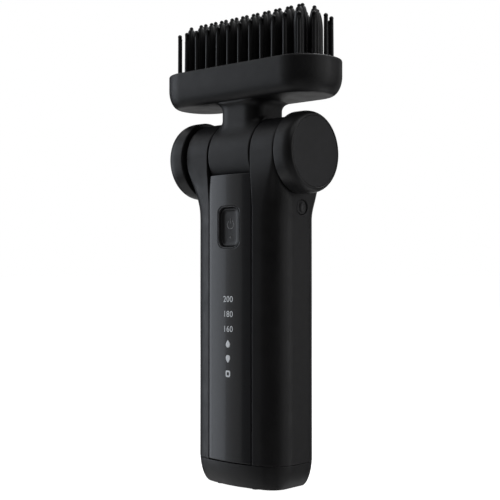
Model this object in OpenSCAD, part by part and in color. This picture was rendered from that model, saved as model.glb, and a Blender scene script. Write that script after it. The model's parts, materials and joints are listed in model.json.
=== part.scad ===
// Cordless heated pin brush with a folding head.
// It stands on its base: +Z up, front panel towards -Y, hinge axis along X.
// The origin is the middle of the base, on the surface it stands on.

/* [Handle] */
// Width of the handle, side to side
handle_w = 47.2; // [46.6:0.2:50]
// From the hinge axis forward to the crest of the front face
handle_front = 14.9; // [14.5:0.1:16]
// From the hinge axis back to the back face
handle_back = 13.6; // [13.4:0.1:15]
// Radius of the long front corners
front_corner_r = 11; // [9:0.5:12]
// Radius of the long back corners
back_corner_r = 5.5; // [5:0.5:6.5]
// Radius of the crowned front face
crown_r = 60; // [45:5:90]
// Wall of the handle shell
wall = 2; // [1.6:0.1:2.2]
// Height of the hinge axis above the base
hinge_h = 135; // [131:1:150]
// Height of the bottom cap
cap_h = 10.3; // [9.5:0.1:11]
// How far the cap draws in at the base
base_inset = 4.6; // [3:0.2:4.8]
// Height over which the cap would draw in from straight sides
taper_h = 12.5; // [12:0.5:15]
// How far the rubber feet stand out of the base
foot_h = 0.3; // [0.2:0.1:0.5]
// Radius of each foot
foot_r = 1.6; // [1.2:0.1:1.8]

/* [Front panel] */
// Width of the glossy panel
panel_w = 23.2; // [21:0.2:24]
// Thickness of the panel
panel_t = 1.6; // [1.4:0.1:1.8]
// From the hinge axis down to the panel's top edge
panel_drop = 8; // [7.5:0.5:9]
// Width of the power button's opening
button_w = 10.6; // [9:0.2:11]
// Height of the power button's opening
button_h = 16; // [14:0.5:17]
// From the hinge axis down to the button's centre
button_drop = 29.5; // [28.5:0.5:31]
// How far the power button moves when pressed
button_travel = 0.8; // [0.5:0.1:0.8]
// From the hinge axis down to the topmost lit mark
mark_drop = 58.7; // [56:0.5:60]
// Spacing of the six lit marks
mark_pitch = 6.05; // [5.5:0.1:6.2]

/* [Hinge] */
// Radius of the head's barrel between the ears
barrel_r = 15; // [14:0.25:15]
// Gap between the barrel and the shell around it
barrel_gap = 0.45; // [0.35:0.05:0.6]
// Radius of the ears
ear_r = 15; // [14.5:0.25:15.5]
// How far each ear stands out past the handle's side
ear_step = 0.6; // [0:0.1:0.8]
// Radius of the hinge shaft
shaft_r = 4.5; // [4:0.1:4.8]
// Wall of the hinge shaft
shaft_wall = 1.4; // [1.2:0.1:1.5]
// Running clearance between the shaft and its bushes
shaft_clear = 0.05; // [0.02:0.01:0.09]
// Wall of the hinge bushes
bush_t = 1.6; // [1.2:0.1:2]
// Radius of the hinge knobs
knob_r = 16.5; // [16:0.1:17.5]
// Thickness of each knob, edge to face
knob_t = 8.4; // [7.6:0.1:9]
// Open groove between an ear and its knob
knob_groove = 1; // [0.9:0.1:1.5]
// How far the release button moves when pressed
release_travel = 1.5; // [1:0.1:1.5]
// Wedge slope of the release: shoe travel for each unit of button travel
release_slope = 0.6; // [0.5:0.05:0.7]

/* [Head] */
// Length of the bristle tray along the hinge axis
tray_l = 85; // [80:1:90]
// Depth of the bristle tray, front to back
tray_d = 31.4; // [30:0.2:33]
// From the hinge axis up to the tray's underside
tray_under = 22.5; // [21.5:0.5:24]
// Height of the tray
tray_h = 14.3; // [13.8:0.1:16]
// Wall of the tray
tray_wall = 1.8; // [1.6:0.1:2]
// Depth of the neck, front to back
neck_d = 20.8; // [19:0.2:22]
// Corner radius of the neck
neck_corner_r = 7; // [5:0.5:8]
// From the tray's rim up to the tallest tips
bristle_h = 23.4; // [20:0.2:25]
// How far the pegs next to the outer bristles end below the tallest
edge_drop = 2.0; // [1:0.1:3]
// How far the outer bristles end below the tallest pegs
pin_drop = 5.8; // [4:0.1:6]
// Spacing of the bristles
bristle_pitch = 6; // [5.8:0.1:6.3]
// Radius of the thin outer bristles at their foot
pin_r = 0.95; // [0.8:0.05:1]
// Radius of the heated pegs at their foot
peg_r = 2.3; // [2:0.05:2.35]
// Outer bristles' distance in from the tray's outline
pin_inset = 4; // [3.7:0.1:4.2]

/* [Power] */
// Radius of a battery cell
cell_r = 9.2; // [9:0.1:9.25]
// Length of a battery cell
cell_l = 65; // [60:1:65]
// Thickness of the main circuit board
board_t = 1.2; // [1:0.1:1.6]

/* [Hidden] */
$fn = 96;
eps = 0.01;
seam = 0.15;
ear_in = panel_w / 2;
ear_out = handle_w / 2 + ear_step;
barrel_half = ear_in - 0.4;
bush_r = shaft_r + shaft_clear + bush_t;
knob_in = ear_out + knob_groove;
knob_cap_r = knob_r - 2.3;
hub_r = 10;
flange_t = 0.5;
hub_l = knob_groove - flange_t - 0.1;
panel_bottom = cap_h + 0.3;
panel_top = hinge_h - panel_drop;
front_wall_y = -(handle_front - panel_t - 1.3);
inner_back = handle_back - wall;
cavity_top = hinge_h - barrel_r - barrel_gap - 2;
button_z = hinge_h - button_drop;
board_front = -8.7;
board_back = board_front + board_t;
cell_x = cell_r + 0.3;
cell_y = inner_back - 0.1 - cell_r;
cell_z = 16.1;
cap_screw_x = 16;
feet = [[-17, 7.8], [17, 7.8], [-9.5, -8.4], [9.5, -8.4]];
cap_boss_h = 8.8;
release_y = 3.7;
plunger_end = -10.3;
board_bottom = cap_h + 13.7;
board_top = hinge_h - 22;
post_z = hinge_h - 27.5;
guide_z = hinge_h - 39.4;
guide_screw_z = [guide_z + 5.4, guide_z + 13.4];
shoe_z = hinge_h - 31;
release_z = hinge_h - 21.6;
shoe_half = 4;
shoe_slot = 0.25;
wedge_tip = shoe_half + release_travel + 0.3;
tray_z = hinge_h + tray_under;
rim_z = tray_z + tray_h;
tip_z = rim_z + bristle_h;
floor_z = tray_z + 2;
plate_z = floor_z + 4.9;
deck_z = rim_z - 0.6;
tray_corner_r = tray_d / 2 - 0.7;
pin_path_l = tray_l / 2 - pin_inset;
pin_path_d = tray_d / 2 - pin_inset;
peg_row_y = pin_path_d / 2;
peg_core_r = 1.2;
peg_core_h = 17;
marks = [for (i = [0:5]) hinge_h - mark_drop - i * mark_pitch];
knob_round = [2, 4.2];

// ---- shared outlines ----

// Rounded rectangle with true arcs, centred
module rounded(w, d, r) {
    square([w - 2 * r, d], center = true);
    square([w, d - 2 * r], center = true);
    for (x = [-1, 1], y = [-1, 1])
        translate([x * (w / 2 - r), y * (d / 2 - r)]) circle(r);
}

// The handle's section, drawn in by g: crowned front, big front corners, small back corners
module handle_outline(g = 0) {
    hw = handle_w / 2 - g;
    rf = front_corner_r - g;
    rb = max(back_corner_r - g, 0.6);
    rc = crown_r - g;
    yc = crown_r - handle_front;
    back = handle_back - g;
    cx = hw - rf;
    cy = yc - sqrt((rc - rf) * (rc - rf) - cx * cx);
    ux = cx / (rc - rf);
    uy = (cy - yc) / (rc - rf);
    for (s = [-1, 1]) {
        translate([s * cx, cy]) circle(rf);
        translate([s * (hw - rb), back - rb]) circle(rb);
    }
    translate([-hw, cy]) square([2 * hw, back - rb - cy]);
    translate([-(hw - rb), cy]) square([2 * (hw - rb), back - cy]);
    intersection() {
        translate([0, yc]) circle(rc, $fn = 360);
        polygon([[-cx, cy], [cx, cy],
            [ux * 1.2 * rc, yc + uy * 1.2 * rc], [-ux * 1.2 * rc, yc + uy * 1.2 * rc]]);
    }
}

module xcyl(r, x0, x1) {
    translate([x0, 0, 0]) rotate([0, 90, 0]) cylinder(r = r, h = x1 - x0);
}

module ycyl(r, y0, y1) {
    translate([0, y0, 0]) rotate([-90, 0, 0]) cylinder(r = r, h = y1 - y0);
}

// A box from its low corner to its high corner
module block(a, b) {
    translate(a) cube([b[0] - a[0], b[1] - a[1], b[2] - a[2]]);
}

// A panel-shaped rounded plate standing in XZ, from y0 back to y1
module upright(w, h, r, y0, y1) {
    translate([0, y1, 0]) rotate([90, 0, 0]) linear_extrude(y1 - y0) rounded(w, h, r);
}

// A lead: straight runs with round elbows
module lead(points, r) {
    for (i = [0:len(points) - 2]) {
        d = points[i + 1] - points[i];
        n = norm(d);
        translate(points[i])
            rotate([0, acos(d[2] / n), atan2(d[1], d[0])]) cylinder(r = r, h = n, $fn = 24);
    }
    for (i = [1:1:len(points) - 2]) translate(points[i]) sphere(r * 1.08, $fn = 24);
}

// Coil spring along +Z: wire radius w, mean radius r, length l, n turns
module coil(r, w, l, n) {
    steps = 16 * n;
    sides = 8;
    function at(i) = [r * cos(360 * n * i / steps), r * sin(360 * n * i / steps),
        w + (l - 2 * w) * i / steps];
    rings = [for (i = [0:steps]) let (a = 360 * n * i / steps)
        [for (k = [0:sides - 1]) let (b = 360 * k / sides)
            at(i) + w * [cos(b) * cos(a), cos(b) * sin(a), sin(b)]]];
    pts = [for (ring = rings) each ring];
    sidesf = [for (i = [0:steps - 1], k = [0:sides - 1]) let (k2 = (k + 1) % sides)
        [i * sides + k, (i + 1) * sides + k, (i + 1) * sides + k2, i * sides + k2]];
    ends = [[for (k = [0:sides - 1]) k],
        [for (k = [sides - 1:-1:0]) steps * sides + k]];
    polyhedron(points = pts, faces = concat(sidesf, ends), convexity = 6);
}

// A pan-head screw pointing down -Z from its seat at z = 0
module screw(r, l, head_r, head_h) {
    translate([0, 0, -l]) cylinder(r = r, h = l, $fn = 32);
    difference() {
        cylinder(r = head_r, h = head_h, $fn = 32);
        for (a = [0, 90]) rotate([0, 0, a])
            translate([-head_r * 0.6, -0.25, head_h * 0.5]) cube([head_r * 1.2, 0.5, head_h]);
    }
}

// ---- the handle ----

module ear(s) {
    x0 = s > 0 ? ear_in : -ear_out;
    x1 = s > 0 ? ear_out : -ear_in;
    translate([0, 0, hinge_h]) xcyl(ear_r, x0, x1);
}

module handle_cavity() {
    translate([0, 0, cap_h - eps]) linear_extrude(cavity_top - cap_h + eps) intersection() {
        handle_outline(wall);
        translate([-50, front_wall_y]) square([100, 50]);
    }
    for (s = [-1, 1]) {
        x0 = s > 0 ? ear_in + 1.8 : -(ear_out - 2);
        x1 = s > 0 ? ear_out - 2 : -(ear_in + 1.8);
        translate([0, 0, hinge_h]) xcyl(ear_r - wall, x0, x1);
        translate([0, 0, cavity_top - 4]) linear_extrude(hinge_h - 2 - cavity_top) intersection() {
            handle_outline(wall);
            translate([x0, -9]) square([x1 - x0, inner_back + 8]);
        }
    }
}

module rear_shell() {
    color([0.09, 0.09, 0.1]) difference() {
        union() {
            difference() {
                union() {
                    translate([0, 0, cap_h]) linear_extrude(hinge_h - cap_h) handle_outline();
                    for (s = [-1, 1]) ear(s);
                }
                handle_cavity();
            }
            // bosses inside the ears that hold the bushes
            for (s = [-1, 1]) translate([0, 0, hinge_h])
                xcyl(bush_r + 1.8, s > 0 ? ear_in + 1 : -(ear_out - 1), s > 0 ? ear_out - 1 : -(ear_in + 1));
            // posts that carry the main board
            for (s = [-1, 1]) translate([s * 10.5, 0, post_z]) ycyl(2.2, front_wall_y - 0.5, board_front);
        }
        // the space between the ears
        translate([0, 0, hinge_h]) xcyl(barrel_r + barrel_gap, -ear_in, ear_in);
        block([-ear_in, -30, panel_top], [ear_in, 30, hinge_h + 30]);
        block([-ear_in, -30, panel_top - 1.6], [ear_in, front_wall_y + 1, panel_top + 5]);
        // seat of the front panel and the window behind it
        translate([0, 0, panel_bottom - seam]) linear_extrude(hinge_h) difference() {
            translate([-panel_w / 2 - seam, -30]) square([panel_w + 2 * seam, 30]);
            handle_outline(panel_t + seam);
            translate([-30, -7]) square([60, 60]);
        }
        block([-8.8, -20, panel_bottom + 11.4], [8.8, front_wall_y + 1, hinge_h - 19]);
        // bores for the bushes
        for (s = [-1, 1]) translate([0, 0, hinge_h])
            xcyl(bush_r, s > 0 ? ear_in - 1 : -ear_out - 1, s > 0 ? ear_out + 1 : -ear_in + 1);
        // window for the brake shoe
        block([-shoe_half - shoe_slot, -shoe_half - shoe_slot, cavity_top - 1],
            [shoe_half + shoe_slot, shoe_half + shoe_slot, hinge_h - 10]);
        // hole for the release button
        translate([0, release_y, release_z]) xcyl(3.1, handle_w / 2 - wall - 1, handle_w / 2 + 2);
        // way for the heater leads into the left bush boss
        block([-18.4, -2, hinge_h - 12], [-15.6, 2, hinge_h - shaft_r]);
        // thread holes
        for (s = [-1, 1]) translate([s * 10.5, 0, post_z]) ycyl(0.9, board_front - 3, board_front + 1);
        for (z = guide_screw_z) translate([10, 0, z]) ycyl(0.9, inner_back - 1, inner_back + 1.2);
    }
}

module front_panel() {
    color([0.13, 0.14, 0.15]) difference() {
        translate([0, 0, panel_bottom]) linear_extrude(panel_top - panel_bottom) intersection() {
            difference() {
                handle_outline();
                handle_outline(panel_t);
            }
            translate([-panel_w / 2, -30]) square([panel_w, 25]);
        }
        translate([0, 0, hinge_h]) xcyl(barrel_r + barrel_gap, -20, 20);
        translate([0, 0, button_z]) upright(button_w + 1.4, button_h + 1.4, 3.6, -20, -5);
        for (i = [0:5]) translate([0, 0, marks[i]])
            upright(i < 3 ? 6.6 : 3.6, i < 3 ? 3.4 : 4, 0.8, -20, -5);
    }
}

module bottom_cap() {
    color([0.09, 0.09, 0.1]) difference() {
        union() {
            intersection() {
                hull() for (i = [0:9]) {
                    t = i / 9;
                    z = (cap_h - seam) * (1 - cos(90 * t));
                    k = (taper_h - z) / taper_h;
                    g = base_inset * (1 - sqrt(1 - k * k));
                    translate([0, 0, z - 0.02]) linear_extrude(0.02) handle_outline(g, $fn = 32);
                }
                translate([-50, -50, foot_h]) cube([100, 100, cap_h - seam - foot_h]);
            }
            // lip that enters the shell
            translate([0, 0, cap_h - 2]) linear_extrude(5) intersection() {
                handle_outline(wall + 0.1);
                translate([-50, front_wall_y + 0.1]) square([100, 50]);
            }
        }
        difference() {
            translate([0, 0, 2.2]) linear_extrude(20) intersection() {
                handle_outline(base_inset + 2.2);
                translate([-50, front_wall_y + 2]) square([100, 50]);
            }
            for (s = [-1, 1]) translate([s * cap_screw_x, 0, 0]) cylinder(r = 3.2, h = cap_boss_h);
        }
        translate([0, 0, cap_boss_h]) linear_extrude(20) intersection() {
            handle_outline(wall + 1.3);
            translate([-50, front_wall_y + 1.3]) square([100, 50]);
        }
        // opening for the charge port
        translate([0, 0, -1]) linear_extrude(4) rounded(9.4, 3.7, 1.8);
        // seats for the two screws
        for (s = [-1, 1]) translate([s * cap_screw_x, 0, -1]) {
            cylinder(r = 1.3, h = 30);
            cylinder(r = 2.2, h = cap_boss_h - 1.2);
        }
        for (p = feet) translate([p[0], p[1], -1]) cylinder(r = foot_r + 0.05, h = foot_h + 1.7);
    }
}

module base_feet() {
    color([0.05, 0.05, 0.05]) for (p = feet) translate([p[0], p[1], 0]) cylinder(r = foot_r, h = foot_h + 0.7);
}

module cap_screws() {
    color("silver") for (s = [-1, 1])
        translate([s * cap_screw_x, 0, cap_boss_h - 2.2]) rotate([180, 0, 0]) screw(1.1, 6, 2, 1.3);
}

module button_frame() {
    color([0.16, 0.16, 0.17]) translate([0, 0, button_z]) difference() {
        upright(button_w + 1.2, button_h + 1.2, 3.5, -14.85, front_wall_y);
        upright(button_w, button_h, 2.9, -20, 0);
    }
}

module power_button() {
    color([0.07, 0.07, 0.075]) translate([0, 0, button_z]) {
        difference() {
            upright(button_w - 0.5, button_h - 0.5, 2.65, -13.7, -11.9);
            upright(button_w - 2.1, button_h - 2.1, 1.9, -14, -13.35);
        }
        ycyl(1.6, -12, -11.4);
    }
}

module switch_plunger() {
    color("white") translate([0, 0, button_z]) ycyl(1.6, -11.4, plunger_end);
}

module tact_switch() {
    color("silver") translate([0, 0, button_z]) difference() {
        block([-3, board_front - 2, -3], [3, board_front, 3]);
        ycyl(1.68, board_front - 3, plunger_end + button_travel + 0.1);
    }
}

module indicator_windows() {
    color([0.8, 0.82, 0.85, 0.8]) intersection() {
        for (i = [0:5]) translate([0, 0, marks[i]])
            upright(i < 3 ? 6.4 : 3.4, i < 3 ? 3.2 : 3.8, 0.7, -20, -5);
        translate([0, 0, 1]) linear_extrude(200) difference() {
            handle_outline(0.02);
            handle_outline(panel_t);
        }
    }
}

module light_guide() {
    color("white") difference() {
        translate([0, 0, (marks[0] + marks[5]) / 2])
            upright(10, marks[0] - marks[5] + mark_pitch, 1, front_wall_y - 0.9, board_front);
        for (z = marks) translate([0, 0, z]) upright(7, mark_pitch - 1.2, 0.6, -20, 0);
    }
}

module status_leds() {
    color([0.95, 0.95, 0.85]) for (z = marks)
        block([-0.8, board_front - 0.6, z - 0.5], [0.8, board_front, z + 0.5]);
}

module main_board() {
    color([0.05, 0.3, 0.15]) difference() {
        union() {
            block([-13, board_front, board_bottom], [13, board_back, board_top]);
            // driver and regulator packages on the front
            block([-11.8, board_front - 1.4, board_top - 27], [-5.8, board_front, board_top - 21]);
            block([6.2, board_front - 1, board_top - 29], [11.6, board_front, board_top - 25]);
            block([-4, board_front - 2.2, board_bottom + 6], [4, board_front, board_bottom + 13]);
        }
        for (s = [-1, 1]) translate([s * 10.5, 0, post_z]) ycyl(1.1, -20, 0);
    }
}

module board_screws() {
    color("silver") for (s = [-1, 1]) translate([s * 10.5, board_back, post_z])
        rotate([-90, 0, 0]) screw(0.9, 3.2, 1.7, 1.1);
}

module battery_cell(s) {
    color([0.2, 0.45, 0.6]) translate([s * cell_x, cell_y, cell_z]) {
        cylinder(r = cell_r, h = cell_l - 0.9);
        translate([0, 0, cell_l - 0.9]) cylinder(r = 3.2, h = 0.9);
    }
}

module battery_cell_left() { battery_cell(-1); }
module battery_cell_right() { battery_cell(1); }

module battery_cradle() {
    color([0.15, 0.15, 0.16]) difference() {
        union() {
            // end plates and the spine between the cells
            translate([0, 0, cell_z - 2.2]) linear_extrude(2) intersection() {
                handle_outline(wall + 1.4);
                translate([-19, -5.5]) square([38, 30]);
            }
            for (s = [-1, 1]) translate([s * cap_screw_x, 0, cap_boss_h + 0.05])
                cylinder(r = 2.6, h = cell_z - 1.2 - cap_boss_h);
            translate([0, 0, cell_z + cell_l + 0.4]) linear_extrude(1.8) intersection() {
                handle_outline(wall + 0.3);
                translate([-19, -6]) square([38, 30]);
            }
            block([-2.2, inner_back - 2.4, cell_z - 1], [2.2, inner_back - 0.3, cell_z + cell_l + 1]);
        }
        for (s = [-1, 1]) translate([s * cell_x, cell_y, 0]) {
            translate([0, 0, cell_z - 1]) cylinder(r = cell_r + 0.05, h = cell_l + 1.4);
            cylinder(r = 3.6, h = 100);
        }
        translate([0, cell_y, 0]) cylinder(r = 4.4, h = 60);
        for (s = [-1, 1]) translate([s * cap_screw_x, 0, 0]) cylinder(r = 1.1, h = cap_boss_h + 4.2);
    }
}

module battery_straps() {
    color("silver") {
        for (s = [-1, 1]) translate([0, 0, cell_z + cell_l])
            block([s * cell_x - 2.5, cell_y - 2.5, 0], [s * cell_x + 2.5, cell_y + 2.5, 0.2]);
        block([-cell_x - 2.5, cell_y - 2.5, cell_z - 0.2], [cell_x + 2.5, cell_y + 2.5, cell_z]);
    }
}

module battery_leads() {
    z = cell_z + cell_l + 0.2;
    color([0.7, 0.1, 0.1]) for (s = [-1, 1]) lead([[s * cell_x, cell_y, z],
        [s * cell_x, cell_y, z + 6], [s * 6, -3, z + 9], [s * 6, board_back, z + 9]], 0.7);
}

module charge_port() {
    color("silver") difference() {
        translate([0, 0, 0.9]) linear_extrude(7.4) rounded(9, 3.3, 1.6);
        translate([0, 0, 0]) linear_extrude(6.6) rounded(8.4, 2.6, 1.25);
    }
    color([0.1, 0.1, 0.1]) block([-3.3, -0.35, 2], [3.3, 0.35, 7.6]);
}

module charge_board() {
    color([0.05, 0.3, 0.15]) block([-11, 1.7, 2.6], [11, 2.7, 12.6]);
}

module shoe_guide() {
    color([0.15, 0.15, 0.16]) difference() {
        union() {
            block([13, -4.5, guide_z + 1.4], [14.4, inner_back, cavity_top]);
            block([-6, -4.5, guide_z], [14.4, inner_back, guide_z + 1.4]);
            block([-6, -4.5, guide_z + 1.4], [-4.6, inner_back, cavity_top]);
            block([-6, inner_back - 1.6, guide_z + 1.4], [14.4, inner_back, guide_z + 16.4]);
        }
        // bore that carries the release button's stem
        translate([0, release_y, release_z]) xcyl(1.28, 10, 20);
        for (z = guide_screw_z) translate([10, 0, z]) ycyl(1, 5, 20);
    }
}

module guide_screws() {
    color("silver") for (z = guide_screw_z) translate([10, inner_back - 1.6, z])
        rotate([90, 0, 0]) screw(0.9, 2.7, 1.7, 1.1);
}

// ---- hinge release ----

module release_button() {
    tip = wedge_tip;
    color([0.07, 0.07, 0.075]) {
        translate([0, release_y, release_z]) {
            difference() {
                xcyl(2.85, handle_w / 2 - wall - 0.2, handle_w / 2 - 0.15);
                translate([handle_w / 2 + 5.2, 0, 0]) sphere(5.7);
            }
            xcyl(3.4, handle_w / 2 - wall - 0.9, handle_w / 2 - wall - 0.05);
            xcyl(1.2, 11.5, handle_w / 2 - wall - 0.5);
        }
        translate([0, release_y + 1.6, 0]) rotate([90, 0, 0]) linear_extrude(3.2)
            polygon([[tip, release_z + 1.4], [12, release_z + 1.4],
                [12, release_z - 0.4 - (12 - tip) * release_slope], [tip, release_z - 0.4]]);
    }
}

module release_spring() {
    color("silver") translate([14.45, release_y, release_z]) rotate([0, 90, 0])
        coil(2.2, 0.25, handle_w / 2 - wall - 0.95 - 14.45, 4);
}

module brake_shoe() {
    tip = wedge_tip;
    color([0.2, 0.2, 0.21]) difference() {
        union() {
            block([-shoe_half, -shoe_half, shoe_z], [shoe_half, shoe_half, hinge_h - 12]);
            translate([0, release_y + 1.6, 0]) rotate([90, 0, 0]) linear_extrude(4.5)
                polygon([[0, release_z - 0.5 + (tip - 3.9) * release_slope],
                    [3.9, release_z - 0.55 + (tip - 3.9) * release_slope],
                    [11, release_z - 0.55 - (11 - tip) * release_slope], [11, shoe_z], [0, shoe_z]]);
        }
        translate([0, 0, hinge_h]) xcyl(barrel_r + 1.35, -20, 20);
        translate([0, 0, shoe_z - 1]) cylinder(r = 2.9, h = 3);
    }
}

module shoe_pad() {
    color([0.05, 0.05, 0.05]) difference() {
        block([-shoe_half, -shoe_half, hinge_h - 18], [shoe_half, shoe_half, hinge_h - 12]);
        translate([0, 0, hinge_h]) xcyl(barrel_r + 0.12, -20, 20);
        difference() {
            translate([0, 0, hinge_h - 30]) cube([60, 60, 60], center = true);
            translate([0, 0, hinge_h]) xcyl(barrel_r + 1.35, -20, 20);
        }
    }
}

module shoe_spring() {
    color("silver") translate([0, 0, guide_z + 1.45]) coil(2.3, 0.3, 8.9, 4);
}

// ---- the hinge ----

module hinge_bush(s) {
    color([0.75, 0.75, 0.7]) translate([0, 0, hinge_h]) difference() {
        union() {
            xcyl(bush_r, s > 0 ? ear_in : -ear_out, s > 0 ? ear_out : -ear_in);
            xcyl(bush_r + 1.6, s > 0 ? ear_out : -ear_out - flange_t,
                s > 0 ? ear_out + flange_t : -ear_out);
        }
        xcyl(shaft_r + shaft_clear, -60, 60);
        if (s < 0) block([-18.4, -2, -20], [-15.6, 2, 0]);
    }
}

module hinge_bush_left() { hinge_bush(-1); }
module hinge_bush_right() { hinge_bush(1); }

module hinge_shaft() {
    color("silver") translate([0, 0, hinge_h]) difference() {
        xcyl(shaft_r, -(knob_in + 3), knob_in + 3);
        xcyl(shaft_r - shaft_wall, -60, 60);
        // window where the leads enter; it stays open over the whole tilt
        difference() {
            block([-18.6, -10, -10], [-15.4, 10, 1.2]);
            xcyl(shaft_r - shaft_wall - 1, -60, 60);
        }
        // window where they leave for the neck
        block([-2.5, -2, 0], [2.5, 2, 10]);
    }
}

module hinge_barrel() {
    color([0.1, 0.1, 0.11]) translate([0, 0, hinge_h]) difference() {
        xcyl(barrel_r, -barrel_half, barrel_half);
        xcyl(shaft_r, -60, 60);
        cylinder(r = 3.2, h = 30);
        for (x = [-7.4, 7.4]) translate([x, 0, 7]) cylinder(r = 1.5, h = 20);
        // cored out from both ends, below the neck
        for (s = [-1, 1]) intersection() {
            difference() {
                xcyl(barrel_r - 2.4, s > 0 ? 2 : -20, s > 0 ? 20 : -2);
                xcyl(8, -30, 30);
            }
            translate([-30, -30, -40]) cube([60, 60, 43]);
        }
    }
}

module thrust_washers() {
    color("silver") translate([0, 0, hinge_h]) for (s = [-1, 1]) difference() {
        xcyl(7.5, s > 0 ? barrel_half : -barrel_half - 0.32, s > 0 ? barrel_half + 0.32 : -barrel_half);
        xcyl(shaft_r, -60, 60);
    }
}

module knob_body() {
    rr = knob_round[0];
    ra = knob_round[1];
    difference() {
        rotate_extrude() polygon(concat(
            [[0, 0], [knob_r - 0.5, 0], [knob_r, 0.5], [knob_r, knob_t - ra]],
            [for (i = [1:8]) let (a = 90 * i / 8)
                [knob_r - rr + rr * cos(a), knob_t - ra + ra * sin(a)]],
            [[0, knob_t]]));
        // seat for the face cap, room for the screw, socket for the shaft
        translate([0, 0, knob_t - 1.5]) cylinder(r = knob_cap_r + 0.1, h = 5);
        translate([0, 0, 3]) cylinder(r = 5.6, h = 10);
        difference() {
            translate([0, 0, 2.2]) cylinder(r = knob_cap_r - 1.6, h = 10);
            cylinder(r = 7.5, h = 20);
        }
        translate([0, 0, -5]) cylinder(r = shaft_r, h = 8);
        translate([0, 0, -5]) cylinder(r = 3.05, h = 20);
    }
    difference() {
        translate([0, 0, -hub_l]) cylinder(r = hub_r, h = hub_l);
        translate([0, 0, -5]) cylinder(r = shaft_r, h = 8);
    }
}

module on_side(s) {
    translate([s * knob_in, 0, hinge_h]) rotate([0, s * 90, 0]) children();
}

module hinge_knob_left() { color([0.1, 0.1, 0.11]) on_side(-1) knob_body(); }
module hinge_knob_right() { color([0.1, 0.1, 0.11]) on_side(1) knob_body(); }

module knob_cap() {
    translate([0, 0, knob_t - 1.5]) cylinder(r = knob_cap_r, h = 1.5);
}

module knob_cap_left() { color([0.11, 0.11, 0.12]) on_side(-1) knob_cap(); }
module knob_cap_right() { color([0.11, 0.11, 0.12]) on_side(1) knob_cap(); }

module knob_screws() {
    color("silver") for (s = [-1, 1]) on_side(s) translate([0, 0, 3]) difference() {
        union() {
            translate([0, 0, -8]) cylinder(r = shaft_r - shaft_wall - 0.1, h = 8);
            cylinder(r = 5.2, h = 1.8);
        }
        translate([0, 0, 0.8]) cylinder(r = 1.7, h = 3, $fn = 6);
    }
}

// ---- the head ----

module tray_outline(g = 0) {
    rounded(tray_l - 2 * g, tray_d - 2 * g, tray_corner_r - g);
}

module head_tray() {
    round_in = 4.8;
    round_h = 9;
    flare = 3.6;
    color([0.1, 0.1, 0.11]) difference() {
        union() {
            hull() for (i = [0:8]) {
                a = 90 * i / 8;
                translate([0, 0, tray_z + round_h * (1 - cos(a))])
                    linear_extrude(0.02) tray_outline(round_in * (1 - sin(a)), $fn = 32);
            }
            translate([0, 0, tray_z + round_h]) linear_extrude(tray_h - round_h) tray_outline();
            // the neck and the flare where it meets the tray
            translate([0, 0, hinge_h + 8]) linear_extrude(tray_under - 7)
                rounded(2 * barrel_half, neck_d, neck_corner_r);
            for (i = [0:3]) hull() for (j = [0, 1]) {
                a = 90 * (i + j) / 4;
                translate([0, 0, tray_z - flare * (1 - sin(a)) - 0.02]) linear_extrude(0.04)
                    rounded(2 * barrel_half + 2 * flare * (1 - sin(90 - a)),
                        neck_d + 2 * flare * (1 - sin(90 - a)),
                        neck_corner_r + flare * (1 - sin(90 - a)), $fn = 32);
            }
        }
        // inside of the tray, with the ledge that carries the deck
        translate([0, 0, floor_z]) linear_extrude(40) tray_outline(round_in);
        translate([0, 0, tray_z + 6.5]) linear_extrude(40) tray_outline(tray_wall + 1.2);
        translate([0, 0, deck_z - 1.6]) linear_extrude(40) tray_outline(tray_wall);
        // the barrel's seat
        translate([0, 0, hinge_h]) xcyl(barrel_r, -60, 60);
        // lead channel and screw holes
        translate([0, 0, hinge_h]) cylinder(r = 3.2, h = 40);
        for (x = [-7.4, 7.4]) translate([x, 0, hinge_h]) cylinder(r = 1.6, h = 40);
        for (x = [-30, 30]) translate([x, 0, floor_z - 1.2]) cylinder(r = 1.1, h = 10);
    }
}

module neck_screws() {
    color("silver") for (x = [-7.4, 7.4]) translate([x, 0, floor_z]) screw(1.5, 15.5, 2.4, 1.2);
}

module clamp_plate() {
    color("silver") difference() {
        translate([0, 0, floor_z + 1.4]) linear_extrude(0.6) rounded(66, 11, 2);
        for (x = [-30, 30]) translate([x, 0, 100]) cylinder(r = 1.2, h = 100);
        translate([0, 0, 100]) cylinder(r = 4.2, h = 100);
    }
}

module insulation_film() {
    color([0.8, 0.6, 0.2]) {
        difference() {
            translate([0, 0, floor_z + 2]) linear_extrude(0.2) rounded(55, 12, 1);
            translate([0, 0, 100]) cylinder(r = 4.2, h = 100);
        }
        translate([0, 0, plate_z - 0.2]) linear_extrude(0.2) rounded(55, 12, 1);
    }
}

module ptc_heater() {
    color([0.75, 0.75, 0.72]) translate([0, 0, floor_z + 2.2]) linear_extrude(2.5) rounded(54, 10, 0.5);
}

// How far inside the ring of outer bristles a point lies
function inside_ring(x, y) = pin_path_d - norm([max(abs(x) - (pin_path_l - pin_path_d), 0), y]);

// The heated pegs, three staggered rows: [x, y, height of the tip]
function pegs() = [for (j = [-1:1]) for (i = [-7:7])
    let (x = (i + (j == 0 ? 0.5 : 0)) * bristle_pitch, y = j * peg_row_y, d = inside_ring(x, y))
    if (d > 3.6) [x, y, tip_z - (d < 7 ? edge_drop : 0)]];

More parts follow.
